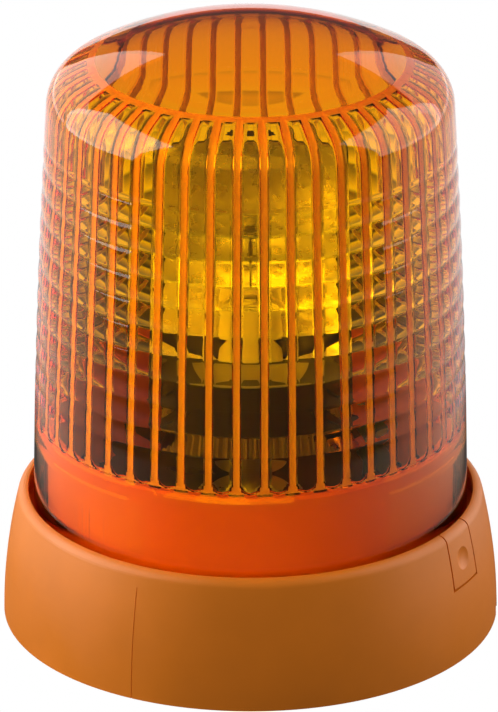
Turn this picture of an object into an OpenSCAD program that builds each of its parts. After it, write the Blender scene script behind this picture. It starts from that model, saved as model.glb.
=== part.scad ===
// Rotating warning beacon: a domed amber lens over a turning mirror, on a round three-bolt base.
// Millimetres, +Z up. The origin is the centre of the underside, and the front faces -Y.
// Azimuths are counted from the front towards +X.

/* [Base] */
// Outside diameter of the base at its bottom edge
base_d = 167.3; // [160:0.1:205]
// Height of the base to the top of its shoulder
base_h = 44.4; // [42:0.1:54]
// Thickness of the base wall
base_wall = 2.8; // [2.5:0.1:3.4]
// How far the base wall has curved inwards 40 mm above its bottom edge
base_sweep = 4.5; // [3.5:0.1:6]
// Radius of the rounded shoulder
shoulder_r = 3.4; // [2:0.1:4]
// Thickness of the base floor
floor_t = 3; // [2:0.1:4]
// Thickness of the gasket under the floor
gasket_t = 3; // [2:0.1:4]
// How far the inner collar stands above the shoulder
collar_rise = 25.6; // [20:0.1:27]

/* [Mounting] */
// Diameter of the circle that the three mounting holes lie on
bolt_pcd = 130; // [120:0.5:132]
// Diameter of each threaded mounting hole
bolt_d = 8; // [6:0.5:10]
// Depth of each threaded mounting hole
bolt_depth = 12; // [10:0.5:14]
// Diameter of the hole for the supply cable
cable_d = 10; // [6:0.5:12]

/* [Lens] */
// Height of the whole beacon to the top of the lens
total_h = 208.5; // [205:0.5:255]
// Thickness of the lens wall
lens_wall = 3.6; // [3:0.1:4.2]
// Width of the groove between the lens and the rim of the base
lens_gap = 1.9; // [1.7:0.05:2.4]
// How far the lens wall stands below the rim of the base
lens_drop = 11.4; // [11:0.1:13]
// Radius of the rounded corner between the side and the crown
corner_r = 14; // [10:0.5:16]
// Radius of the shallow crown
crown_r = 126; // [120:1:170]
// Number of raised rings round the outside
ring_count = 10; // [6:1:12]
// Height of each raised ring
ring_pitch = 8.6; // [7:0.1:9]
// How far each ring stands out
ring_depth = 0.45; // [0.3:0.05:0.8]

/* [Latch] */
// Azimuth of the lens latch
latch_az = 62; // [50:1:72]
// Width of the latch in degrees round the base
latch_span = 11.2; // [9:0.1:13]
// Height of the latch
latch_h = 18.4; // [17:0.1:20]
// Diameter of the pin that the latch rocks on
latch_pin_d = 2; // [1.6:0.1:2.2]

/* [Drive] */
// Gear module
gear_module = 1; // [0.8:0.05:1.1]
// Teeth on the wheel that turns the mirror
wheel_teeth = 60; // [50:1:66]
// Teeth on the motor pinion
pinion_teeth = 12; // [12:1:14]
// Azimuth of the motor
motor_az = 210; // [200:1:220]
// Diameter of the motor
motor_d = 26; // [22:0.5:28]
// Height of the motor
motor_h = 22.5; // [20:0.5:24]
// Diameter of the fixed spindle
spindle_d = 14; // [12:0.5:15]
// Diameter of the turntable
turntable_d = 66; // [60:1:76]

/* [Optics] */
// Height of the lamp filament
focus_z = 129.5; // [128:0.5:140]
// Focal length of the mirror
focal_len = 25; // [24:0.5:28]
// Width of the mirror
mirror_w = 60; // [46:1:62]
// Height of the mirror
mirror_h = 72; // [56:1:73]
// Diameter of the lamp glass
lamp_d = 10; // [8:0.5:12]

/* [Fits] */
// Radial clearance of each running fit
run_gap = 0.05; // [0.02:0.01:0.1]
// Clearance of pieces that are fixed together
seat_gap = 0.03; // [0.02:0.01:0.05]
// Clearance between pieces that pass each other
pass_gap = 0.4; // [0.3:0.05:0.5]

/* [Hidden] */
$fn = 96;

// Front of the object: world angle of azimuth 0
front = -90;
// A shape is drawn this far past the face that it cuts through
cut = 1;

// --- base outline ---
base_lean = 0.007;
floor_z = gasket_t;
floor_top = floor_z + floor_t;
function base_r(z) = base_d / 2 - base_lean * z - base_sweep * pow(z / 40, 2);
function base_tilt(z) = atan(base_lean + base_sweep * z / 800);
shoulder_tilt = base_tilt(base_h - shoulder_r);
shoulder_z = base_h - shoulder_r * (1 - sin(shoulder_tilt));
shoulder_x = base_r(shoulder_z) - shoulder_r * cos(shoulder_tilt);
base_steps = 12;
base_outside = concat(
    [for (i = [0 : base_steps]) let (z = shoulder_z * i / base_steps) [base_r(z), z]],
    [for (i = [1 : 6]) let (a = shoulder_tilt + (90 - shoulder_tilt) * i / 6)
        [shoulder_x + shoulder_r * cos(a), base_h - shoulder_r + shoulder_r * sin(a)]]);
rim_r = shoulder_x - 0.2;
lip_t = 2.6;
lip_z = base_h - lip_t;
drain_az = 86;
drain_w = 7;
drain_h = 3;
seam_az = -28;
seam_depth = 0.25;
insert_r = bolt_d / 2 + 2.5;
boss_wall = 3;
function base_inside(z_low, z_high) =
    [for (i = [0 : 8]) let (z = z_high + (z_low - z_high) * i / 8) [base_r(z) - base_wall, z]];

// --- lens outline ---
lens_foot_r = rim_r - lens_gap;
seat_z = base_h - lens_drop;
seal_t = 2;
seal_w = lens_wall - 0.4;
ledge_z = seat_z - 0.6;
ledge_t = 4;
inner_collar_r = lens_foot_r - lens_wall - 1.2;
ledge_r = inner_collar_r - 2.5;
side_top = total_h - 26.8;
function lens_r(z) = let (u = max(0, z - base_h) / 100) lens_foot_r - 1.785 * u - 1.708 * u * u;
lens_tilt = atan((1.785 + 2 * 1.708 * (side_top - base_h) / 100) / 100);
crown_z = total_h - crown_r;
corner_x = lens_r(side_top) - corner_r * cos(lens_tilt);
corner_z = crown_z + sqrt(pow(crown_r - corner_r, 2) - corner_x * corner_x);
meet_angle = atan2(corner_z - crown_z, corner_x);
ring_top = side_top - 11.5;
ring_low = ring_top - ring_count * ring_pitch;
ring_steps = 4;
// The middle of the crown is a small flat, so that the outline meets the axis squarely
crown_flat = 2;
function dome(inset) = concat(
    [for (i = [0 : 6]) let (a = lens_tilt + (meet_angle - lens_tilt) * i / 6)
        [corner_x + (corner_r - inset) * cos(a), corner_z + (corner_r - inset) * sin(a)]],
    [for (i = [1 : 9]) let (a = meet_angle + (90 - meet_angle) * i / 10)
        [(crown_r - inset) * cos(a), crown_z + (crown_r - inset) * sin(a)]],
    [[crown_flat, total_h - inset], [0, total_h - inset]]);
panel_depth = 0.5;
panel_h = 20.6;
// Azimuth and span of each panel
panels = [[-47.5, 37], [49.8, 23.6]];
lens_outside = concat(
    [[lens_foot_r, seat_z], [lens_foot_r, base_h]],
    [for (i = [1 : 3]) let (z = base_h + (ring_low - base_h) * i / 4) [lens_r(z), z]],
    [for (i = [0 : ring_count * ring_steps])
        let (z = ring_low + i * ring_pitch / ring_steps, f = (i % ring_steps) / ring_steps)
        [lens_r(z) - ring_depth * pow(2 * f - 1, 2), z]]);
lens_inside = [for (i = [0 : 8]) let (z = seat_z + (side_top - seat_z) * i / 8) [lens_r(z) - lens_wall, z]];

// --- bayonet and latch ---
lug_az = [0, 120, 240];
lug_span = 9;
lug_z = seat_z + 2.4;
lug_t = 2.8;
lug_r = rim_r - 0.15;
hook_r = lens_foot_r + pass_gap;
hook_z = lug_z + lug_t + 0.3;
tooth_z = lip_z - 2.3;
tooth_t = 2.4;
tooth_span = 5;
tooth_r = lens_foot_r + 0.8;
ramp_span = 7.5;
ramp_steps = 5;
ramp_az = latch_az - tooth_span / 2 - 0.5;
stop_lug_span = 2.5;
ramp_low = tooth_r - pass_gap;
latch_low = base_h - latch_h;
latch_t = 2.4;
pivot_z = latch_low + 7.5;
pivot_r = base_r(pivot_z) - 2.5;
pocket_wall = 1.7;
pocket_r = pivot_r - 2.3;
pin_half = pivot_r * sin(latch_span / 2) + 3;
barrel_half = pivot_r * sin(latch_span / 2) - 0.6;
barrel_wall = 0.9;
dimple_r = 7.6;
dimple_z = pivot_z + 2;
spring_w = 8;
spring_t = 0.3;
spring_half = 3.2;
spring_play = 0.7;

// --- drive stack, from the chassis up ---
chassis_z = base_h - 6.4;
chassis_t = 2;
chassis_top = chassis_z + chassis_t;
chassis_r = ledge_r - 8;
damper_t = 4;
post_az = [60, 180, 300];
post_r = 46;
post_d = 10;
post_screw_d = 4;
motor_x = gear_module * (wheel_teeth + pinion_teeth) / 2;
motor_top = chassis_top + motor_h;
motor_wall = 1;
motor_floor = 1.2;
motor_screw_x = 5;
motor_screw_y = 6.5;
small_screw_d = 2.5;
cap_t = 2.5;
motor_bearing_t = 2.3;
magnet_t = 2.5;
shaft_d = 3;
gear_z = motor_top + 3.5;
gear_t = 6;
pressure = 20;
tooth_back = 0.2;
addendum = 0.85;
dedendum = 1.2;
wheel_tip = gear_module * (wheel_teeth / 2 + addendum);
collar_t = 3;
collar_r = spindle_d / 2 + 3;
washer_t = 1;
washer_z = gear_z - 4 - washer_t;
bush_z = washer_z + washer_t + run_gap;
bush_r = spindle_d / 2 + 2.5;
table_top = gear_z + gear_t + 20;
table_t = 2.5;
table_skirt_z = gear_z + gear_t + 4;
table_wall = 1.6;
clip_z = table_top + run_gap;
clip_t = 1;
spindle_flange_r = spindle_d / 2 + 7;
flange_screw_r = spindle_flange_r - 3.5;
flange_t = 2.5;
clip_groove = 0.7;
spindle_bore = spindle_d / 2 - 2;
spindle_top = clip_z + clip_t + 0.4;

// --- lamp and mirror ---
socket_r = focal_len - mirror_h * mirror_h / (16 * focal_len) - 1.5;
socket_top = focus_z - 16;
cap_r = socket_r - 3.3;
cap_low = socket_top - 9;
cap_top = socket_top + 2;
lamp_top = focus_z + 13;
lamp_wall = 0.8;
mirror_t = 1.5;
mirror_low = focus_z - mirror_h / 2;
back_gap = 0.2;
back_t = 2;
back_rim = 1.5;
rim_rise = 1;
// Where the middle of the mirror's lower edge lies
mirror_foot_y = focal_len - mirror_h * mirror_h / (16 * focal_len);
foot_w = 28;
foot_len = 14;
foot_t = 2.5;
fin_t = 2.5;
fin_h = 18;
mirror_screw_x = 8;
mirror_screw_y = mirror_foot_y + 9.5;
mirror_reach = sqrt(pow(mirror_w, 2) + pow(mirror_h, 2)) / 2 + 3;

// --- wiring ---
block_size = [30, 16, 14];
block_y = 26;
lead_d = 2.2;
lead_x = 2.2;
lead_z = floor_top + 8;
lead_bend = 4;
motor_lead_d = 1.8;
motor_lead_x = -9;
motor_lead_y = 26.5;
motor_lead_gap = 4;

function reversed(list) = [for (i = [len(list) - 1 : -1 : 0]) list[i]];

// Turns its children to an azimuth, with local +X pointing outwards
module at_azimuth(az) {
    rotate([0, 0, front + az]) children();
}

// A profile revolved through a span of degrees, centred on an azimuth
module sector(az, span) {
    at_azimuth(az - span / 2) rotate_extrude(angle = span) children();
}

// A flat ring
module ring(r_out, r_in, h) {
    difference() {
        cylinder(r = r_out, h = h);
        translate([0, 0, -cut]) cylinder(r = r_in, h = h + 2 * cut);
    }
}

// A pan-head screw standing on z = 0, with its shank below
module screw(d, len) {
    difference() {
        union() {
            cylinder(r = d * 0.9, h = d * 0.6);
            translate([0, 0, -len]) cylinder(d = d, h = len + cut / 2);
        }
        for (a = [0, 90])
            rotate([0, 0, a]) translate([-d * 0.6, -d * 0.1, d * 0.35]) cube([d * 1.2, d * 0.2, d]);
    }
}

// --- base ---

module housing_section() {
    polygon(concat(base_outside,
        [[rim_r, base_h - 0.2], [rim_r, lip_z]],
        base_inside(0, lip_z)));
}

module latch_slot() {
    span = latch_span + 1;
    sector(latch_az, span) polygon([
        [pocket_r, latch_low - 0.8], [base_d, latch_low - 0.8],
        [base_d, base_h + cut], [lens_foot_r - cut, base_h + cut],
        [lens_foot_r - cut, seat_z + 1], [pocket_r, seat_z + 1]]);
}

module pin_path(r, half) {
    at_azimuth(latch_az) translate([pivot_r, half, pivot_z]) rotate([90, 0, 0])
        cylinder(r = r, h = 2 * half);
}

module base_housing() color([0.87, 0.42, 0.07]) difference() {
    union() {
        rotate_extrude() housing_section();
        translate([0, 0, floor_z]) cylinder(r = base_r(floor_top) - base_wall / 2, h = floor_t);
        rotate_extrude() translate([ledge_r, ledge_z - ledge_t])
            square([base_r(ledge_z) - base_wall / 2 - ledge_r, ledge_t]);
        // inner collar that the lens stands round
        rotate_extrude() polygon([[ledge_r, ledge_z - ledge_t], [inner_collar_r, ledge_z - ledge_t],
            [inner_collar_r, base_h + collar_rise - 1], [inner_collar_r - 0.8, base_h + collar_rise],
            [ledge_r, base_h + collar_rise]]);
        for (az = lug_az) at_azimuth(az) translate([bolt_pcd / 2, 0, floor_top - cut / 2])
            cylinder(r = insert_r + boss_wall, h = bolt_depth - floor_t + 2 + cut / 2);
        for (az = post_az) at_azimuth(az) translate([post_r, 0, floor_top - cut / 2])
            cylinder(d = post_d, h = chassis_z - damper_t - floor_top + cut / 2);
        for (az = lug_az) sector(az, lug_span) polygon([[hook_r, hook_z],
            [base_r(hook_z) - base_wall / 2, hook_z], [base_r(lip_z) - base_wall / 2, lip_z + 0.5],
            [rim_r + 0.5, lip_z + 0.5], [hook_r, lip_z - 0.6]]);
        sector(latch_az, latch_span + 5) polygon([[pocket_r - pocket_wall, latch_low - 2.8],
            [base_r(latch_low) - base_wall / 2, latch_low - 2.8], [base_r(ledge_z) - base_wall / 2, ledge_z],
            [pocket_r - pocket_wall, ledge_z]]);
    }
    latch_slot();
    pin_path(latch_pin_d / 2, pin_half);
    // groove for the lens seal
    translate([0, 0, seat_z - seal_t]) ring(lens_foot_r, lens_foot_r - lens_wall, seal_t + cut);
    for (az = lug_az) at_azimuth(az) translate([bolt_pcd / 2, 0, 0])
        cylinder(r = insert_r, h = floor_z + bolt_depth);
    for (az = post_az) at_azimuth(az) translate([post_r, 0, chassis_z - damper_t - 12])
        cylinder(r = post_screw_d / 2 + seat_gap, h = 12 + cut);
    translate([0, 0, -cut]) cylinder(d = cable_d + 10, h = floor_top + 2 * cut);
    // drain notch in the bottom edge of the skirt
    at_azimuth(drain_az) translate([base_d / 2 - 2 * base_wall, -drain_w / 2, -cut])
        cube([3 * base_wall, drain_w, drain_h + cut]);
    // parting line down the front of the wall
    sector(seam_az, 0.2) polygon(concat([[base_r(0) + cut, 0]],
        [for (p = base_outside) if (p[1] < shoulder_z) [p[0] - seam_depth, p[1]]],
        [[base_r(0) + cut, shoulder_z]]));
}

module mounting_gasket() color([0.12, 0.12, 0.12]) difference() {
    cylinder(r = base_r(gasket_t) - base_wall - 0.1, h = gasket_t);
    translate([0, 0, -cut]) cylinder(r = bolt_pcd / 2 - 17, h = gasket_t + 2 * cut);
    for (az = lug_az) at_azimuth(az) translate([bolt_pcd / 2, 0, -cut])
        cylinder(d = bolt_d + 1, h = gasket_t + 2 * cut);
}

module mounting_inserts() color([0.8, 0.66, 0.3]) {
    for (az = lug_az) at_azimuth(az) translate([bolt_pcd / 2, 0, floor_z])
        ring(insert_r, bolt_d / 2, bolt_depth);
}

module cable_grommet() color([0.1, 0.1, 0.1]) {
    r = cable_d / 2 + 5;
    rotate_extrude() polygon([[cable_d / 2, floor_z - 1.5], [r + 2.5, floor_z - 1.5], [r + 2.5, floor_z],
        [r, floor_z], [r, floor_top], [r + 2.5, floor_top], [r + 2.5, floor_top + 1.5],
        [cable_d / 2 + 2, floor_top + 3], [cable_d / 2, floor_top + 3]]);
}

module lens_seal() color([0.15, 0.15, 0.15])
    translate([0, 0, seat_z - seal_t]) ring(lens_foot_r - 0.2, lens_foot_r - 0.2 - seal_w, seal_t);

// --- latch ---

module latch_tab() color([0.87, 0.42, 0.07]) difference() {
    union() {
        // outer skin, on the same outline as the base wall
        intersection() {
            sector(latch_az, latch_span) polygon(concat(base_outside,
                [[rim_r, base_h - 0.2], [rim_r, lip_z]],
                [for (i = [8 : -1 : 0]) let (z = lip_z * i / 8) [base_r(z) - latch_t, z]]));
            translate([0, 0, latch_low]) cylinder(d = base_d, h = latch_h + cut);
        }
        // barrel round the pin
        at_azimuth(latch_az) translate([pivot_r, barrel_half, pivot_z])
            rotate([90, 0, 0]) cylinder(r = latch_pin_d / 2 + barrel_wall, h = 2 * barrel_half);
        // tooth that locks the lens
        sector(latch_az, tooth_span) polygon([[tooth_r, tooth_z], [base_r(tooth_z) - 1, tooth_z],
            [base_r(tooth_z) - 1, tooth_z + tooth_t], [tooth_r, tooth_z + tooth_t]]);
    }
    pin_path(latch_pin_d / 2 + run_gap, pin_half + cut);
    // shallow dimple for a fingertip
    at_azimuth(latch_az) translate([base_r(dimple_z) + dimple_r - 1, 0, dimple_z]) sphere(r = dimple_r);
}

module latch_pin() color([0.75, 0.75, 0.77]) pin_path(latch_pin_d / 2, pin_half);

// Bowed leaf between the back of the pocket and the foot of the latch
module latch_spring() color([0.7, 0.7, 0.72]) {
    z = latch_low + spring_half;
    gap = base_r(z) - latch_t - pocket_r - spring_play;
    r = (spring_half * spring_half + gap * gap) / (2 * gap);
    at_azimuth(latch_az) translate([pocket_r + gap - r, spring_w / 2, z]) rotate([90, 0, 0])
        linear_extrude(height = spring_w) intersection() {
            difference() {
                circle(r = r);
                circle(r = r - spring_t);
            }
            translate([r - gap, -spring_half]) square([2 * gap, 2 * spring_half]);
        }
}

// --- lens ---

module lens() color([1, 0.55, 0.05, 0.6]) difference() {
    union() {
        rotate_extrude() polygon(concat(lens_outside, dome(0), reversed(dome(lens_wall)),
            reversed([for (i = [0 : 7]) lens_inside[i]])));
        // bayonet lugs
        for (az = lug_az) sector(az, lug_span) translate([lens_foot_r - 1, lug_z])
            square([lug_r - lens_foot_r + 1, lug_t]);
        // ramped lug that meets the latch tooth
        translate([0, 0, tooth_z]) linear_extrude(height = tooth_t) polygon(concat(
            [for (i = [0 : ramp_steps]) plan_point(ramp_az - ramp_span * i / ramp_steps,
                ramp_low + (lug_r - ramp_low) * i / ramp_steps)],
            [for (i = [ramp_steps : -1 : 0])
                plan_point(ramp_az - ramp_span * i / ramp_steps, lens_foot_r - 1)]));
        // plain lug on the closing side of the tooth
        sector(latch_az + tooth_span / 2 + 2, stop_lug_span) translate([lens_foot_r - 1, tooth_z])
            square([lug_r - lens_foot_r + 1, tooth_t]);
    }
    // recessed panels inside the smooth band
    for (panel = panels)
        sector(panel[0], panel[1]) translate([lens_foot_r - lens_wall + panel_depth - 6, base_h + 1])
            square([6, panel_h]);
}
function plan_point(az, r) = [r * cos(front + az), r * sin(front + az)];

// --- chassis and motor ---

module chassis_plate() color([0.7, 0.7, 0.7]) translate([0, 0, chassis_z]) difference() {
    cylinder(r = chassis_r, h = chassis_t);
    translate([0, 0, -cut]) cylinder(r = spindle_bore, h = chassis_t + 2 * cut);
    for (az = post_az) at_azimuth(az) translate([post_r, 0, -cut])
        cylinder(r = post_screw_d / 2 + seat_gap, h = chassis_t + 2 * cut);
    for (az = post_az) at_azimuth(az) translate([flange_screw_r, 0, -cut])
        cylinder(d = small_screw_d, h = chassis_t + 2 * cut);
    at_motor() for (s = [-1, 1]) translate([motor_screw_x, s * motor_screw_y, -cut])
        cylinder(d = small_screw_d, h = chassis_t + 2 * cut);
    translate([motor_lead_x, motor_lead_y, -cut]) cylinder(d = motor_lead_gap + 5, h = chassis_t + 2 * cut);
}

module chassis_dampers() color([0.1, 0.1, 0.1]) {
    for (az = post_az) at_azimuth(az) translate([post_r, 0, chassis_z - damper_t])
        ring(post_d / 2 + 1, post_screw_d / 2 + seat_gap, damper_t);
}

module chassis_screws() color([0.8, 0.8, 0.82]) {
    for (az = post_az) at_azimuth(az) translate([post_r, 0, chassis_top])
        screw(post_screw_d, chassis_t + damper_t + 10);
}

module at_motor() {
    at_azimuth(motor_az) translate([motor_x, 0, 0]) children();
}

module motor_can() color([0.72, 0.73, 0.75]) at_motor() difference() {
    union() {
        translate([0, 0, chassis_top]) difference() {
            cylinder(d = motor_d, h = motor_h - cap_t);
            translate([0, 0, motor_floor]) cylinder(d = motor_d - 2 * motor_wall, h = motor_h);
        }
        translate([0, 0, chassis_top + 1]) cylinder(r = 4, h = motor_bearing_t + 0.2);
    }
    translate([0, 0, chassis_top + motor_floor]) cylinder(r = shaft_d / 2 + run_gap, h = motor_h);
    for (s = [-1, 1]) translate([motor_screw_x, s * motor_screw_y, chassis_top - cut])
        cylinder(d = small_screw_d, h = motor_floor + 2 * cut);
}

module motor_magnets() color([0.25, 0.25, 0.27]) at_motor() translate([0, 0, chassis_top + 4.5]) {
    for (a = [0, 180]) rotate([0, 0, a - 60]) rotate_extrude(angle = 120)
        translate([motor_d / 2 - motor_wall - magnet_t, 0]) square([magnet_t - 0.1, motor_h - 10]);
}

module motor_end_cap() color([0.15, 0.15, 0.16]) at_motor() translate([0, 0, motor_top - cap_t])
    ring(motor_d / 2, shaft_d / 2 + run_gap, cap_t);

module motor_screws() color([0.8, 0.8, 0.82]) at_motor()
    for (s = [-1, 1]) translate([motor_screw_x, s * motor_screw_y, chassis_z]) mirror([0, 0, 1])
        screw(small_screw_d, chassis_t + motor_floor);

module motor_shaft() color([0.8, 0.8, 0.82]) at_motor()
    translate([0, 0, chassis_top + 1.4]) cylinder(d = shaft_d, h = gear_z + gear_t + 2 - chassis_top - 1.4);

module motor_armature() color([0.55, 0.3, 0.15]) at_motor()
    translate([0, 0, chassis_top + 4.5]) difference() {
        ring(motor_d / 2 - motor_wall - magnet_t - pass_gap, shaft_d / 2, motor_h - 9.5);
        for (a = [0 : 120 : 240]) rotate([0, 0, a]) translate([shaft_d / 2 + 3, -0.8, -cut])
            cube([motor_d, 1.6, motor_h]);
    }

// --- gears ---

function involute(a) = tan(a) * 180 / PI - a;
// Half the angle that a tooth fills at radius r
function flank(n, r) =
    let (pitch_r = gear_module * n / 2, base = pitch_r * cos(pressure), a = acos(min(1, base / max(r, base))))
    (90 / n - tooth_back / (2 * pitch_r) * 180 / PI) + involute(pressure) - involute(a);
function gear_outline(n) =
    let (tip = gear_module * (n / 2 + addendum), root = gear_module * (n / 2 - dedendum),
        start = max(root, gear_module * n / 2 * cos(pressure)),
        radii = concat([root], [for (k = [0 : 3]) start + (tip - start) * k / 3]))
    [for (i = [0 : n - 1]) for (side = [-1, 1]) for (k = [0 : 4])
        let (r = radii[side < 0 ? k : 4 - k], a = 360 * i / n + side * flank(n, r)) [r * cos(a), r * sin(a)]];

module gear(n, h, bore_r) {
    difference() {
        linear_extrude(height = h) polygon(gear_outline(n));
        translate([0, 0, -cut]) cylinder(r = bore_r, h = h + 2 * cut);
    }
}

// A tooth of the pinion points at a gap of the wheel
module pinion() color([0.9, 0.88, 0.8]) at_motor() translate([0, 0, gear_z - 0.5])
    rotate([0, 0, 180]) gear(pinion_teeth, gear_t + 1, shaft_d / 2);

module gear_wheel() color([0.93, 0.92, 0.86]) translate([0, 0, gear_z]) difference() {
    at_azimuth(motor_az + 180 / wheel_teeth) gear(wheel_teeth, gear_t, bush_r + seat_gap);
    for (a = [0 : 60 : 300]) rotate([0, 0, a]) translate([(wheel_tip + bush_r) / 2, 0, -cut])
        cylinder(r = (wheel_tip - bush_r) / 4, h = gear_t + 2 * cut);
}

// --- spindle and turntable ---

module spindle() color([0.78, 0.79, 0.8]) translate([0, 0, chassis_top]) difference() {
    union() {
        cylinder(r = spindle_flange_r, h = flange_t);
        cylinder(d = spindle_d, h = spindle_top - chassis_top);
        translate([0, 0, washer_z - collar_t - chassis_top]) cylinder(r = collar_r, h = collar_t);
    }
    translate([0, 0, -cut]) cylinder(r = spindle_bore, h = spindle_top);
    translate([0, 0, clip_z - chassis_top]) ring(spindle_d, spindle_d / 2 - clip_groove, clip_t);
    for (az = post_az) at_azimuth(az) translate([flange_screw_r, 0, -cut])
        cylinder(d = small_screw_d, h = flange_t + 2 * cut);
}

module spindle_screws() color([0.8, 0.8, 0.82]) {
    for (az = post_az) at_azimuth(az) translate([flange_screw_r, 0, chassis_top + flange_t])
        screw(small_screw_d, flange_t + chassis_t);
}

module thrust_washer() color([0.85, 0.7, 0.35]) translate([0, 0, washer_z])
    ring(collar_r + 0.8, spindle_d / 2 + seat_gap, washer_t);

module retaining_clip() color([0.3, 0.3, 0.32]) translate([0, 0, clip_z]) difference() {
    ring(spindle_d / 2 + 2, spindle_d / 2 - clip_groove + seat_gap, clip_t);
    translate([0, -1.5, -cut]) cube([spindle_d, 3, clip_t + 2 * cut]);
}

module bearing_bush() color([0.8, 0.6, 0.3]) translate([0, 0, bush_z])
    ring(bush_r, spindle_d / 2 + run_gap, table_top - bush_z);

module turntable() color([0.1, 0.1, 0.1]) difference() {
    union() {
        translate([0, 0, gear_z + gear_t]) cylinder(r = bush_r + 3.5, h = table_top - gear_z - gear_t);
        translate([0, 0, table_top - table_t]) cylinder(d = turntable_d, h = table_t);
        translate([0, 0, table_skirt_z]) ring(turntable_d / 2, turntable_d / 2 - table_wall,
            table_top - table_skirt_z);
        for (z = [table_skirt_z, (table_skirt_z + table_top) / 2]) translate([0, 0, z])
            ring(turntable_d / 2 + 0.8, turntable_d / 2 - cut, 1.6);
        for (a = [0 : 60 : 300]) rotate([0, 0, a]) translate([bush_r + 1, -0.8, table_top - 8])
            cube([turntable_d / 2 - bush_r - 2, 1.6, 7]);
    }
    translate([0, 0, gear_z]) cylinder(r = bush_r + seat_gap, h = table_top);
    for (s = [-1, 1]) translate([s * mirror_screw_x, mirror_screw_y, table_top - table_t - cut])
        cylinder(d = small_screw_d, h = table_t + 2 * cut);
}

module counterweight() color([0.5, 0.5, 0.52]) translate([0, 0, table_top])
    sector(0, 80) translate([turntable_d / 2 - 11, 0]) square([9, 2.2]);

// --- mirror ---

// Bowl between two paraboloids, trimmed to a rectangle, opening to the front
module bowl(gap, thick, w, h) {
    steps = 14;
    translate([0, focal_len, focus_z]) intersection() {
        rotate([90, 0, 0]) rotate_extrude() polygon(concat(
            [for (i = [0 : steps]) let (r = mirror_reach * i / steps) [r, r * r / (4 * focal_len) - gap]],
            [for (i = [steps : -1 : 0]) let (r = mirror_reach * i / steps)
                [r, r * r / (4 * focal_len) - gap - thick]]));
        translate([-w / 2, -focal_len * 2, -h / 2]) cube([w, focal_len * 4, h]);
    }
}

module mirror_shell() color([0.9, 0.9, 0.92]) bowl(0, mirror_t, mirror_w, mirror_h);

module mirror_back() color([0.12, 0.12, 0.12]) difference() {
    union() {
        bowl(mirror_t + back_gap, back_t, mirror_w, mirror_h);
        // rims beside the mirror
        for (s = [-1, 1]) intersection() {
            bowl(-rim_rise, mirror_t + back_gap + back_t + rim_rise, mirror_w + 2 * back_rim, mirror_h);
            translate([s * (mirror_w + back_rim) / 2 - back_rim / 2, -focal_len, mirror_low])
                cube([back_rim, 3 * focal_len, mirror_h]);
        }
        translate([-foot_w / 2, mirror_foot_y, table_top]) cube([foot_w, foot_len, foot_t]);
        for (s = [-1, 1])
            translate([s * (foot_w - fin_t) / 2 - fin_t / 2, mirror_foot_y, table_top + foot_t / 2])
                cube([fin_t, foot_len - 2, fin_h]);
    }
    bowl(-focal_len, focal_len + mirror_t + back_gap, mirror_w, mirror_h + cut);
    for (s = [-1, 1]) translate([s * mirror_screw_x, mirror_screw_y, table_top - cut])
        cylinder(d = small_screw_d, h = foot_t + 2 * cut);
}

module mirror_screws() color([0.8, 0.8, 0.82])
    for (s = [-1, 1]) translate([s * mirror_screw_x, mirror_screw_y, table_top + foot_t])
        screw(small_screw_d, foot_t + table_t);

// --- lamp ---

module bulb_socket() color([0.92, 0.9, 0.84]) translate([0, 0, spindle_top]) difference() {
    cylinder(r = socket_r, h = socket_top - spindle_top);
    translate([0, 0, cap_low - spindle_top]) cylinder(r = cap_r, h = socket_top);
    translate([0, 0, -cut]) cylinder(r = spindle_bore - 1, h = socket_top);
}

module bulb_cap() color([0.8, 0.8, 0.82]) difference() {
    union() {
        translate([0, 0, cap_low]) cylinder(r = cap_r, h = cap_top - cap_low);
        translate([0, 0, socket_top]) cylinder(r = cap_r + 2, h = 1.2);
    }
}

module bulb_glass() color([0.9, 0.95, 1, 0.4]) translate([0, 0, cap_top]) difference() {
    union() {
        cylinder(d = lamp_d, h = lamp_top - cap_top - lamp_d / 2);
        translate([0, 0, lamp_top - cap_top - lamp_d / 2]) sphere(d = lamp_d);
    }
    translate([0, 0, -cut]) cylinder(r = lamp_d / 2 - lamp_wall, h = lamp_top - cap_top - lamp_d / 2 + cut);
    translate([0, 0, lamp_top - cap_top - lamp_d / 2]) sphere(r = lamp_d / 2 - lamp_wall);
}

module bulb_filament() color([0.6, 0.6, 0.6]) {
    translate([0, 0, focus_z - 2.5]) cylinder(r = 0.8, h = 5);
    translate([0, 0, cap_top]) cylinder(r = 0.35, h = focus_z - 2 - cap_top);
    translate([2.4, 0, cap_top]) cylinder(r = 0.35, h = focus_z + 2.2 - cap_top);
    translate([-0.35, -0.35, focus_z + 1.8]) cube([3.1, 0.7, 0.7]);
}

// --- electrics ---

module terminal_block() color([0.85, 0.85, 0.82]) translate([0, block_y, floor_top]) difference() {
    translate([-block_size[0] / 2, -block_size[1] / 2, 0]) cube(block_size);
    for (i = [-1 : 1]) translate([i * 8 + 2, 0, block_size[2] - 4]) cylinder(d = 4, h = 4 + cut);
}

module terminal_screws() color([0.8, 0.72, 0.4]) translate([0, block_y, floor_top + block_size[2] - 4])
    for (i = [-1 : 1]) translate([i * 8 + 2, 0, 0]) difference() {
        cylinder(d = 4, h = 2.5);
        translate([-1.7, -0.3, 1.7]) cube([3.4, 0.6, 2]);
    }

module at_choke() {
    at_azimuth(140) translate([chassis_r - 11, 0, chassis_top]) children();
}

module choke_core() color([0.2, 0.2, 0.22]) at_choke() {
    cylinder(r = 6.5, h = 1.5);
    translate([0, 0, 1]) cylinder(r = 3, h = 15);
    translate([0, 0, 15.5]) cylinder(r = 6.5, h = 1.5);
}

module choke_winding() color([0.75, 0.4, 0.2]) at_choke() translate([0, 0, 1.5])
    rotate_extrude() polygon(concat([[3, 0]],
        [for (i = [0 : 28]) [5.6 + 0.25 * (i % 2), 14 * i / 28]], [[3, 14]]));

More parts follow.
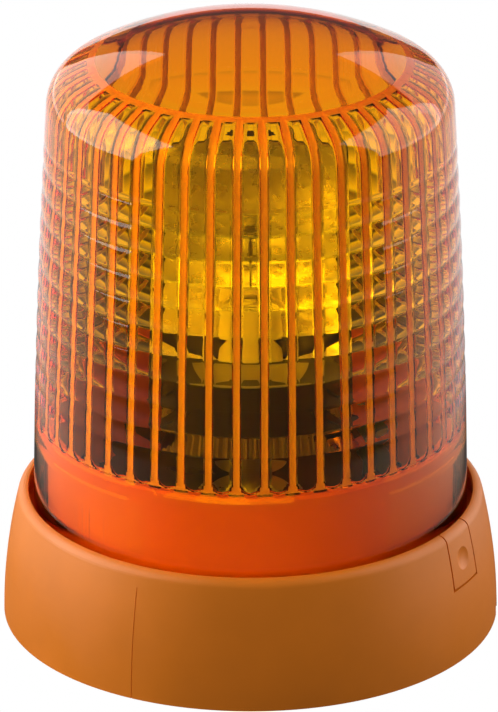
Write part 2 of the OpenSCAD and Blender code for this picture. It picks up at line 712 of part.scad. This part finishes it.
module capacitor() color([0.2, 0.35, 0.6]) at_azimuth(112) translate([chassis_r - 11, 0, chassis_top]) {
    cylinder(r = 5, h = 16);
    translate([0, 0, 0]) cylinder(r = 5.3, h = 1.2);
}

module bulb_leads() color([0.7, 0.1, 0.1])
    for (s = [-1, 1]) translate([s * lead_x, 0, lead_z]) {
        translate([0, block_y - block_size[1] / 2, 0]) rotate([90, 0, 0])
            cylinder(d = lead_d, h = block_y - block_size[1] / 2 - lead_bend);
        translate([0, lead_bend, lead_bend]) rotate([0, 90, 0]) rotate([0, 0, -90]) rotate_extrude(angle = 90)
            translate([lead_bend, 0]) circle(d = lead_d, $fn = 32);
        translate([0, 0, lead_bend]) cylinder(d = lead_d, h = cap_low - lead_z - lead_bend);
    }

module motor_leads() color([0.1, 0.1, 0.5])
    for (s = [-1, 1])
        translate([motor_lead_x, motor_lead_y + s * motor_lead_gap / 2, floor_top + block_size[2]])
            cylinder(d = motor_lead_d, h = chassis_top - floor_top - block_size[2]);

base_housing();
mounting_gasket();
mounting_inserts();
cable_grommet();
lens_seal();
latch_tab();
latch_pin();
latch_spring();
lens();
chassis_plate();
chassis_dampers();
chassis_screws();
motor_can();
motor_magnets();
motor_end_cap();
motor_screws();
motor_shaft();
motor_armature();
pinion();
spindle();
spindle_screws();
thrust_washer();
retaining_clip();
bearing_bush();
gear_wheel();
turntable();
mirror_shell();  // mirror
mirror_back();
mirror_screws();
counterweight();
bulb_socket();
bulb_cap();
bulb_glass();
bulb_filament();
terminal_block();
terminal_screws();
choke_core();
choke_winding();
capacitor();
bulb_leads();
motor_leads();
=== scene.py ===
"""Looks for the rotating warning beacon: ribbed amber lens, moulded base, and the drive and lamp inside.

Metres, +Z up, front towards -Y. Azimuths are counted from the front towards +X.
"""

import math

import bpy
import numpy as np
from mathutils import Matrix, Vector


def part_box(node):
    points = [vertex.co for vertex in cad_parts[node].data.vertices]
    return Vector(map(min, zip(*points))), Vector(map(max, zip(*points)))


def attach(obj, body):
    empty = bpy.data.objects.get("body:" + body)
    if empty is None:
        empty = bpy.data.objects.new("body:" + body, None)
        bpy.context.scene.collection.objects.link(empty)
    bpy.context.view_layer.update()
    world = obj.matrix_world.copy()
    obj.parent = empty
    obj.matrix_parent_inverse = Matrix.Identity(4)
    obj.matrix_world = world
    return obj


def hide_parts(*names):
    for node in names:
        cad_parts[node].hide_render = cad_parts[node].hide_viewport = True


MM = 0.001

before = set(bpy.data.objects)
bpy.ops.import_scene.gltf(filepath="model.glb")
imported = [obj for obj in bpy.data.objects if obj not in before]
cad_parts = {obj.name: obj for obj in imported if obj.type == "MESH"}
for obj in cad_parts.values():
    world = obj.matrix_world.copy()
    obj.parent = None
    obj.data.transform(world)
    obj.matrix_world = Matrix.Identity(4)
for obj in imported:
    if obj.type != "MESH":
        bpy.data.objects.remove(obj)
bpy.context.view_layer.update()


# --- small helpers ---


def node_low_high(name):
    low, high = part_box(name)
    return np.array(low), np.array(high)


def link(obj):
    """Puts the object in the scene."""
    bpy.context.scene.collection.objects.link(obj)
    return obj


def grid_mesh(rings):
    """Points and faces of a closed band: rings is rows x columns x 3."""
    rows, cols, _ = rings.shape
    points = [tuple(p) for p in rings.reshape(-1, 3)]
    faces = []
    for r in range(rows - 1):
        for c in range(cols):
            n = (c + 1) % cols
            faces.append((r * cols + c, r * cols + n, (r + 1) * cols + n, (r + 1) * cols + c))
    return points, faces


def mesh_object(name, points, faces, smooth=True):
    mesh = bpy.data.meshes.new(name)
    mesh.from_pydata(points, [], faces)
    mesh.update()
    if smooth:
        mesh.shade_smooth()
    return link(bpy.data.objects.new(name, mesh))


# --- camera ---

PHOTO_HEIGHT_PX = 712
CAMERA_FOCAL_PX = 6497
SENSOR = 36
CAMERA_PLACE = (-0.0005, -2.0, 0.9415)
CAMERA_DOWN = 0.402


def add_camera():
    data = bpy.data.cameras.new("camera")
    data.sensor_width = SENSOR
    data.lens = CAMERA_FOCAL_PX * SENSOR / PHOTO_HEIGHT_PX
    data.clip_end = 50
    camera = link(bpy.data.objects.new("camera", data))
    camera.location = CAMERA_PLACE
    camera.rotation_euler = (math.pi / 2 - CAMERA_DOWN, 0, 0)
    bpy.context.scene.camera = camera


# --- material helper ---


class Nodes:
    """A short way to build a Principled material and its texture nodes."""

    def __init__(self, name):
        self.material = bpy.data.materials.new(name)
        self.material.use_nodes = True
        self.tree = self.material.node_tree
        self.shader = self.tree.nodes["Principled BSDF"]
        self.output = self.tree.nodes["Material Output"]

    def set(self, **values):
        for key, value in values.items():
            self.shader.inputs[key.replace("_", " ")].default_value = value
        return self

    def add(self, kind, **inputs):
        node = self.tree.nodes.new(kind)
        for key, value in inputs.items():
            node.inputs[key.replace("_", " ")].default_value = value
        return node

    def join(self, source, target):
        self.tree.links.new(source, target)

    def coordinates(self):
        return self.add("ShaderNodeTexCoord").outputs["Object"]

    def noise(self, scale, detail=4.0):
        noise = self.add("ShaderNodeTexNoise", Scale=scale, Detail=detail, Roughness=0.5)
        self.join(self.coordinates(), noise.inputs["Vector"])
        return noise.outputs["Fac"]

    def remap(self, value, low, high):
        """Spreads a noise, which mostly lies between 0.3 and 0.7, from low to high."""
        node = self.add("ShaderNodeMapRange", From_Min=0.3, From_Max=0.7, To_Min=low, To_Max=high)
        self.join(value, node.inputs["Value"])
        return node.outputs["Result"]

    def ramp(self, value, *stops):
        node = self.add("ShaderNodeValToRGB")
        elements = node.color_ramp.elements
        while len(elements) < len(stops):
            elements.new(0.5)
        for element, (position, colour) in zip(elements, stops):
            element.position = position
            element.color = (*colour, 1)
        self.join(value, node.inputs["Fac"])
        return node.outputs["Color"]

    def bump(self, value, strength, distance):
        node = self.add("ShaderNodeBump", Strength=strength, Distance=distance)
        self.join(value, node.inputs["Height"])
        self.join(node.outputs["Normal"], self.shader.inputs["Normal"])


TONE_SPREAD = 0.08
AMBER_DENSITY = 2500.0
AMBER_COLOUR = (0.9985, 0.912, 0.0)


def amber_material(name, roughness, clear, tint):
    """Amber plastic: the colour comes from the depth of plastic that the light passes."""
    m = Nodes(name)
    m.set(Base_Color=(*tint, 1), Roughness=roughness, IOR=1.49)
    m.set(Transmission_Weight=clear)
    absorb = m.add("ShaderNodeVolumeAbsorption", Density=AMBER_DENSITY, Color=(*AMBER_COLOUR, 1))
    m.join(absorb.outputs["Volume"], m.output.inputs["Volume"])
    return m.material


def moulded_material(name, colour, roughness):
    """Moulded plastic: a fine grain, and a slight uneven tone."""
    m = Nodes(name)
    dark = tuple(c * (1 - TONE_SPREAD) for c in colour)
    light = tuple(min(1, c * (1 + TONE_SPREAD)) for c in colour)
    m.join(m.ramp(m.noise(18), (0.35, dark), (0.65, light)), m.shader.inputs["Base Color"])
    m.join(m.remap(m.noise(60), roughness - 0.05, roughness + 0.05), m.shader.inputs["Roughness"])
    m.bump(m.noise(2600, detail=2), 0.35, 0.00003)
    m.set(IOR=1.5)
    return m.material


def metal_material(name, colour, roughness=0.3):
    """Metal with fine tool marks."""
    m = Nodes(name)
    dark = tuple(c * 0.85 for c in colour)
    m.join(m.ramp(m.noise(40), (0.3, dark), (0.7, colour)), m.shader.inputs["Base Color"])
    m.join(m.remap(m.noise(300), roughness - 0.08, roughness + 0.08), m.shader.inputs["Roughness"])
    m.bump(m.noise(900), 0.2, 0.00002)
    m.set(Metallic=1.0)
    return m.material


def rubber_material(name, colour):
    """Matt rubber with a fine grain."""
    m = Nodes(name)
    light = tuple(c * 2 for c in colour)
    m.join(m.ramp(m.noise(90), (0.3, colour), (0.7, light)), m.shader.inputs["Base Color"])
    m.join(m.remap(m.noise(200), 0.62, 0.8), m.shader.inputs["Roughness"])
    m.bump(m.noise(1500), 0.4, 0.00005)
    return m.material


def hammered_mirror_material():
    """Vacuum-plated plastic with shallow dimples that spread the beam."""
    m = Nodes("mirror_silver")
    dark, light = (0.88, 0.88, 0.88), (0.96, 0.96, 0.96)
    m.join(m.ramp(m.noise(40), (0.3, dark), (0.7, light)), m.shader.inputs["Base Color"])
    m.join(m.remap(m.noise(220), 0.24, 0.34), m.shader.inputs["Roughness"])
    m.bump(m.noise(150, detail=1), 0.6, 0.0006)
    m.set(Metallic=1.0)
    return m.material


def clear_glass_material():
    """The lamp's glass."""
    m = Nodes("clear_glass")
    m.set(Base_Color=(0.97, 0.98, 1, 1), Roughness=0.0, IOR=1.46, Transmission_Weight=1.0)
    return m.material


# --- lens ---

# in mm, and RIDGE_PITCH and the panels' centres and spans in degrees
FLUTES = 48
RINGS = 10
RING_PITCH = 8.6
RING_DEPTH = 0.45
RINGS_BELOW_SIDE = 11.5
RIM_Z = 44.4
SIDE_RISE = 26.8
SIDE_TAPER = 1.785
SIDE_BEND = 1.708
CORNER_R = 14
CROWN_R = 126
WALL_THIN = 1.9
WALL_PLAIN = 3.3
WALL_BAND = 2.1
RIB_HEIGHT = 0.9
RIB_HALF = 1.45
FLUTE_LOW = 72.5
FLUTE_TOP_R = 51.5
CHANNEL_RUNOUT = 5
WALL_BLEND = 3
SEAL_INSET = 0.2
PANEL_DEPTH = 0.4
PANEL_TOP = RIM_Z + 21.6
RIDGE_DEPTH = 0.12
RIDGE_PITCH = 1.35
BAND_R = 70
FLUTE_R = 66
RIB_DEPTH = 2
FROSTED_RIB = 0.3
POLE_SPAN = 60
SIDE_POINTS = 1600
CORNER_POINTS = 300
CROWN_POINTS = 700


def lens_profile(total_h, foot_r, seat_z):
    """Dense outer profile from foot to pole: points, outward normals, arc lengths, and the side's top."""
    side_top = total_h - SIDE_RISE

    def side_r(z):
        u = np.maximum(0, z - RIM_Z) / 100
        return foot_r - SIDE_TAPER * u - SIDE_BEND * u * u

    tilt = math.atan((SIDE_TAPER + 2 * SIDE_BEND * (side_top - RIM_Z) / 100) / 100)
    crown_z = total_h - CROWN_R
    corner_x = float(side_r(side_top)) - CORNER_R * math.cos(tilt)
    corner_z = crown_z + math.sqrt((CROWN_R - CORNER_R) ** 2 - corner_x**2)
    meet = math.atan2(corner_z - crown_z, corner_x)
    z_end = corner_z + CORNER_R * math.sin(tilt)
    z = np.linspace(seat_z, z_end, SIDE_POINTS, endpoint=False)
    side = np.stack([side_r(z), z], 1)
    a = np.linspace(tilt, meet, CORNER_POINTS, endpoint=False)
    corner = np.stack([corner_x + CORNER_R * np.cos(a), corner_z + CORNER_R * np.sin(a)], 1)
    b = np.linspace(meet, math.pi / 2, CROWN_POINTS)
    crown = np.stack([CROWN_R * np.cos(b), crown_z + CROWN_R * np.sin(b)], 1)
    line = np.concatenate([side, corner, crown])
    tangent = np.gradient(line, axis=0)
    tangent /= np.linalg.norm(tangent, axis=1)[:, None]
    normal = np.stack([tangent[:, 1], -tangent[:, 0]], 1)
    length = np.concatenate([[0], np.cumsum(np.linalg.norm(np.diff(line, axis=0), axis=1))])
    return line, normal, length, side_top


def at_lengths(line, normal, length, s):
    """Radius, height and outward normal of the profile at the arc lengths s."""
    return [np.interp(s, length, v) for v in (line[:, 0], line[:, 1], normal[:, 0], normal[:, 1])]


def ring_dip(z, low, top):
    """How far the outside lies under its envelope: raised rings with sharp grooves between them."""
    f = ((z - low) / RING_PITCH) % 1.0
    inside = (z > low) & (z < top)
    return np.where(inside, RING_DEPTH * (2 * f - 1) ** 2, 0.0)


def panel_mask(azimuth, z, centre, span, low, high, edge=1.0):
    """1 inside a panel of the band and 0 outside, with an edge that slopes over this many mm."""
    across = (span / 2 - np.abs(azimuth - centre)) * math.radians(1) * BAND_R
    up = np.minimum(z - low, high - z)
    return np.clip(np.minimum(across, up) / edge, 0, 1)


def flute_offsets():
    """Angles of the inner columns through one pitch, as fractions, closer together on the ribs."""
    arc = FLUTE_R * 2 * math.pi / FLUTES
    half = arc / 2
    flat = half - RIB_HALF
    marks = [0, 0.35 * flat, 0.7 * flat, flat]
    marks += [flat + RIB_HALF * (1 - math.cos(math.radians(p))) for p in (20, 45, 70)]
    marks += [half]
    left = [-m for m in marks[:0:-1]]
    return np.array(left + marks[:-1]) / arc


def ring_points(r, z, angles):
    """Rows x columns x 3: r and z broadcast over the angles."""
    points = np.zeros((len(r), len(angles), 3))
    points[:, :, 0] = r * np.sin(angles)
    points[:, :, 1] = -r * np.cos(angles)
    points[:, :, 2] = z
    return points


def add_lens():
    low, high = node_low_high("lens")
    total_h = high[2] / MM
    seat_z = low[2] / MM
    # the lens seal ends just inside the lens wall
    foot_r = node_low_high("lens_seal")[1][0] / MM + SEAL_INSET
    line, normal, length, side_top = lens_profile(total_h, foot_r, seat_z)

    def s_of_z(z):
        return float(np.interp(z, line[:SIDE_POINTS, 1], length[:SIDE_POINTS]))

    ring_top = side_top - RINGS_BELOW_SIDE
    ring_low = ring_top - RINGS * RING_PITCH
    s_low, s_high = s_of_z(ring_low), s_of_z(ring_top)
    total = length[-1]

    # outside: rings and a smooth crown, with half as many columns as the inside
    offsets = flute_offsets()
    angles = np.concatenate([(k + offsets) * 2 * math.pi / FLUTES for k in range(FLUTES)])
    outer_angles = angles[::2]
    rows_out = np.concatenate([
        np.linspace(0, s_of_z(RIM_Z), 4, endpoint=False),
        np.linspace(s_of_z(RIM_Z), s_low, 10, endpoint=False),
        np.linspace(s_low, s_high, RINGS * 10, endpoint=False),
        np.linspace(s_high, total - POLE_SPAN, 22, endpoint=False),
        total - POLE_SPAN * (1 - np.linspace(0, 0.985, 14))])
    r, z, nr, nz = at_lengths(line, normal, length, rows_out)
    dip = ring_dip(z, ring_low, ring_top)
    outer = ring_points((r - dip * nr)[:, None], (z - dip * nz)[:, None], outer_angles)

    # inside: ribs stand between channels with round lower ends
    s_flute = s_of_z(FLUTE_LOW)
    s_end = float(np.interp(-FLUTE_TOP_R, -line[SIDE_POINTS:, 0], length[SIDE_POINTS:]))
    rows_in = np.concatenate([
        np.linspace(0, s_of_z(RIM_Z) + 0.5, 4, endpoint=False),
        np.linspace(s_of_z(RIM_Z) + 0.5, s_flute - 1, 22, endpoint=False),
        np.linspace(s_flute - 1, s_flute + 5, 18, endpoint=False),
        np.linspace(s_flute + 5, s_of_z(side_top) - 2, 14, endpoint=False),
        np.linspace(s_of_z(side_top) - 2, s_end - CHANNEL_RUNOUT, 16, endpoint=False),
        np.linspace(s_end - CHANNEL_RUNOUT, s_end + 0.4, 12, endpoint=False),
        np.linspace(s_end + 0.4, total - 1, 12)])
    r, z, nr, nz = at_lengths(line, normal, length, rows_in)
    pitch = 2 * math.pi / FLUTES
    local = (angles / pitch + 0.5) % 1.0 - 0.5
    # x is the distance from the middle of the channel, and flat is half the channel's width
    rib_r = (r - RIB_DEPTH)[:, None]
    x = np.abs(local[None] * pitch * rib_r)
    flat = pitch * rib_r / 2 - RIB_HALF
    s = rows_in[:, None] + 0 * x
    # distance outside the channel's outline, which has a round lower end
    centre_low = s_flute + flat
    below = np.hypot(x, np.maximum(0, centre_low - s)) - flat
    out = np.where(s < (s_flute + s_end) / 2, below, x - flat)
    u = np.clip(out / RIB_HALF, 0, 1)
    # each rib is part of a circle across its width
    bend = (RIB_HALF**2 + RIB_HEIGHT**2) / (2 * RIB_HEIGHT)
    rib = (np.sqrt(bend**2 - (RIB_HALF * (1 - u)) ** 2) - bend + RIB_HEIGHT) / RIB_HEIGHT
    # the channels run out gently at the crown
    t = np.clip((s - s_end) / CHANNEL_RUNOUT + 1, 0, 1)
    rib = np.maximum(rib, t * t * (3 - 2 * t))
    wall = WALL_THIN + RIB_HEIGHT * rib
    # the crown above the channels is thicker than the ribs, and the band below them is thinner
    past = np.maximum(s_flute - s, s - s_end)
    plain = np.where(s < s_flute, WALL_BAND, WALL_PLAIN)
    wall = wall + (plain - WALL_THIN - RIB_HEIGHT) * np.clip(past / WALL_BLEND, 0, 1)
    # two panels and a bar are sunk into the band, and fine ridges stand on the left panel
    azimuth = np.degrees((angles + math.pi) % (2 * math.pi) - math.pi)[None] + 0 * x
    height = z[:, None] + 0 * x
    left = panel_mask(azimuth, height, -62.5, 67, RIM_Z + 0.5, PANEL_TOP)
    right = panel_mask(azimuth, height, 67, 58, RIM_Z + 0.5, PANEL_TOP)
    bar = panel_mask(azimuth, height, 0, 53, RIM_Z + 22.2, RIM_Z + 25)
    wall = wall - PANEL_DEPTH * (left + right + bar)
    ridge = panel_mask(azimuth, height, -43, 24, RIM_Z + 1, RIM_Z + 15, edge=3)
    wall = wall - RIDGE_DEPTH * ridge * (0.5 + 0.5 * np.cos(azimuth * 2 * math.pi / RIDGE_PITCH))
    inner_z = z[:, None] - wall * nz[:, None]
    inner_z[0] = z[0]
    inner = ring_points(r[:, None] - wall * nr[:, None], inner_z, angles)

    points, outer_faces = grid_mesh(outer)
    faces = list(outer_faces)
    first_inner = len(points)
    n_out, n_in = len(outer_angles), len(angles)
    inner_points, inner_faces = grid_mesh(inner)
    points += inner_points
    faces += [tuple(first_inner + i for i in reversed(f)) for f in inner_faces]
    # foot: joins the two bottom rings
    for c in range(n_out):
        n = (c + 1) % n_out
        here, middle, after = (first_inner + (2 * c + step) % n_in for step in range(3))
        faces.append((n, c, here, middle))
        faces.append((n, middle, after))
    # poles
    for start, count, rows, pole_z, flip in ((0, n_out, len(rows_out), total_h, False),
                                             (first_inner, n_in, len(rows_in), total_h - WALL_PLAIN, True)):
        pole = len(points)
        points.append((0, 0, pole_z))
        ring = start + (rows - 1) * count
        for c in range(count):
            n = (c + 1) % count
            faces.append((ring + n, ring + c, pole) if flip else (ring + c, ring + n, pole))
    points = [(x * MM, y * MM, z * MM) for x, y, z in points]
    lens = mesh_object("lens_fluted", points, faces)
    lens.data.materials.append(amber_material("amber_lens", 0.0, 1.0, (1, 1, 1)))
    lens.data.materials.append(amber_material("amber_ribs", 0.3, 0.2, (1, 1, 0.8)))
    # the ribs are frosted on the inside
    frosted = (rib > FROSTED_RIB) & (s > s_flute - 0.5) & (s < s_end)
    first_face = len(outer_faces)
    for r in range(len(rows_in) - 1):
        for c in range(n_in):
            if frosted[r, c] and frosted[r + 1, (c + 1) % n_in]:
                lens.data.polygons[first_face + r * n_in + c].material_index = 1
    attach(lens, "lens")
    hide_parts("lens")


# --- materials of the CAD nodes ---


def dress(material, *names):
    """Gives these nodes the material, and no other."""
    for name in names:
        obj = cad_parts[name]
        obj.data.materials.clear()
        obj.data.materials.append(material)


def dress_nodes():
    orange = moulded_material("orange_plastic", (0.77, 0.2, 0.007), roughness=0.45)
    dress(orange, "base_housing", "latch_tab")
    rubber = rubber_material("black_rubber", (0.012, 0.012, 0.012))
    dress(rubber, "mounting_gasket", "cable_grommet", "lens_seal", "chassis_dampers")
    steel = metal_material("steel", (0.62, 0.62, 0.64))
    dress(steel, "latch_pin", "latch_spring", "chassis_screws", "motor_screws", "motor_shaft",
          "spindle_screws", "retaining_clip", "mirror_screws", "bulb_cap", "bulb_filament")
    dress(metal_material("motor_steel", (0.3, 0.3, 0.31), 0.45), "motor_can")
    dress(metal_material("aluminium", (0.7, 0.71, 0.73), 0.35), "spindle")
    dress(moulded_material("chassis_paint", (0.03, 0.03, 0.032), 0.5), "chassis_plate")
    dress(metal_material("brass", (0.75, 0.53, 0.22)), "mounting_inserts", "thrust_washer", "bearing_bush",
          "pinion", "terminal_screws")
    dress(metal_material("copper", (0.75, 0.33, 0.14)), "motor_armature", "choke_winding")
    dress(moulded_material("ferrite", (0.05, 0.05, 0.055), 0.7), "motor_magnets", "choke_core")
    black = moulded_material("black_plastic", (0.02, 0.02, 0.021), 0.45)
    dress(black, "motor_end_cap", "turntable", "mirror_back")
    dress(moulded_material("natural_plastic", (0.75, 0.72, 0.62), 0.35), "terminal_block")
    dress(moulded_material("gear_nylon", (0.26, 0.22, 0.17), 0.5), "gear_wheel")
    dress(metal_material("zinc", (0.45, 0.46, 0.48), 0.5), "counterweight")
    dress(moulded_material("ceramic", (0.8, 0.78, 0.7), 0.3), "bulb_socket")
    dress(moulded_material("blue_sleeve", (0.03, 0.08, 0.3), 0.35), "capacitor")
    dress(moulded_material("red_insulation", (0.5, 0.02, 0.015), 0.4), "bulb_leads")
    dress(moulded_material("blue_insulation", (0.02, 0.03, 0.35), 0.4), "motor_leads")
    dress(hammered_mirror_material(), "mirror")
    dress(clear_glass_material(), "bulb_glass")


# --- studio ---


def white_to_camera(tree, shader, output):
    """The backdrop is plain white in the picture, and lights the object less than white paper would."""
    path = tree.nodes.new("ShaderNodeLightPath")
    mix = tree.nodes.new("ShaderNodeMixShader")
    white = tree.nodes.new("ShaderNodeEmission")
    white.inputs["Strength"].default_value = 1.0
    tree.links.new(path.outputs["Is Camera Ray"], mix.inputs["Fac"])
    tree.links.new(shader, mix.inputs[1])
    tree.links.new(white.outputs["Emission"], mix.inputs[2])
    tree.links.new(mix.outputs["Shader"], output)


FLOOR_GLOW = 1.0
FLOOR_DIM = 0.08
FLOOR_SIZE = 6
FLOOR_OVAL = 2.2
DIM_BEFORE, BRIGHT_BEHIND = -0.25, 0.1
DIM_WITHIN, BRIGHT_BEYOND = 0.28, 0.5
WORLD_GLOW = 0.1


def add_floor():
    corners = [(x * FLOOR_SIZE, y * FLOOR_SIZE, 0) for x, y in ((-1, -1), (1, -1), (1, 1), (-1, 1))]
    floor = mesh_object("floor", corners, [(0, 1, 2, 3)], smooth=False)
    m = Nodes("floor_paper")
    # bright at the sides and well behind the object, dim near it and in front of it
    place = m.coordinates()
    split = m.add("ShaderNodeSeparateXYZ")
    m.join(place, split.inputs["Vector"])
    behind = m.add("ShaderNodeMapRange", From_Min=DIM_BEFORE, From_Max=BRIGHT_BEHIND)
    m.join(split.outputs["Y"], behind.inputs["Value"])
    oval = m.add("ShaderNodeMapping", Scale=(FLOOR_OVAL, 1, 0))
    m.join(place, oval.inputs["Vector"])
    away = m.add("ShaderNodeVectorMath")
    away.operation = "LENGTH"
    m.join(oval.outputs["Vector"], away.inputs[0])
    far = m.add("ShaderNodeMapRange", From_Min=DIM_WITHIN, From_Max=BRIGHT_BEYOND)
    m.join(away.outputs["Value"], far.inputs["Value"])
    both = m.add("ShaderNodeMath")
    both.operation = "MULTIPLY"
    m.join(behind.outputs["Result"], both.inputs[0])
    m.join(far.outputs["Result"], both.inputs[1])
    fade = m.add("ShaderNodeMapRange", To_Min=FLOOR_DIM, To_Max=FLOOR_GLOW)
    m.join(both.outputs["Value"], fade.inputs["Value"])
    lit = m.add("ShaderNodeEmission")
    m.join(fade.outputs["Result"], lit.inputs["Strength"])
    white_to_camera(m.tree, lit.outputs["Emission"], m.output.inputs["Surface"])
    floor.data.materials.append(m.material)


def keep_inside(light, *names):
    """Flags a light off these nodes and hides its reflection, so that it only fills the lens."""
    light.visible_glossy = False
    kept_off = bpy.data.collections.new(light.name + "_flag")
    for name in names:
        kept_off.objects.link(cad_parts[name])
    for item in kept_off.collection_objects:
        item.light_linking.link_state = "EXCLUDE"
    light.light_linking.receiver_collection = kept_off


def add_softbox(name, place, target, width, height, power):
    data = bpy.data.lights.new(name, "AREA")
    data.shape = "RECTANGLE"
    data.size, data.size_y = width, height
    data.energy = power
    light = link(bpy.data.objects.new(name, data))
    light.location = place
    aim = Vector(target) - Vector(place)
    light.rotation_euler = aim.to_track_quat("-Z", "Y").to_euler()
    return light


def add_studio():
    world = bpy.data.worlds.new("studio")
    bpy.context.scene.world = world
    world.use_nodes = True
    tree = world.node_tree
    background = tree.nodes["Background"]
    background.inputs["Color"].default_value = (1, 1, 1, 1)
    background.inputs["Strength"].default_value = WORLD_GLOW
    white_to_camera(tree, background.outputs["Background"], tree.nodes["World Output"].inputs["Surface"])
    middle = (0, 0, 0.1)
    add_softbox("left_box", (-1.1, 0.05, 0.6), middle, 1.4, 1.4, 21)
    add_softbox("right_box", (1.1, 0.2, 0.6), middle, 1.4, 1.4, 12)
    add_softbox("rear_left_box", (-1.0, 1.3, 0.6), middle, 1.2, 1.2, 6)
    add_softbox("rear_right_box", (1.0, 1.3, 0.6), middle, 1.2, 1.2, 4)
    front = add_softbox("front_box", (-0.3, -1.2, 0.45), middle, 0.6, 0.5, 3)
    front.visible_glossy = False
    lens_middle = (0, 0, 0.13)
    fill = add_softbox("lens_box", (-0.25, -1.2, 0.75), lens_middle, 1.8, 0.9, 21)
    keep_inside(fill, "base_housing", "latch_tab")
    left_fill = add_softbox("lens_left_box", (-1.2, -0.35, 0.8), lens_middle, 1.0, 1.0, 26)
    keep_inside(left_fill, "base_housing", "latch_tab")
    bpy.context.scene.view_settings.view_transform = "Standard"


add_camera()
add_floor()
add_studio()
dress_nodes()
add_lens()
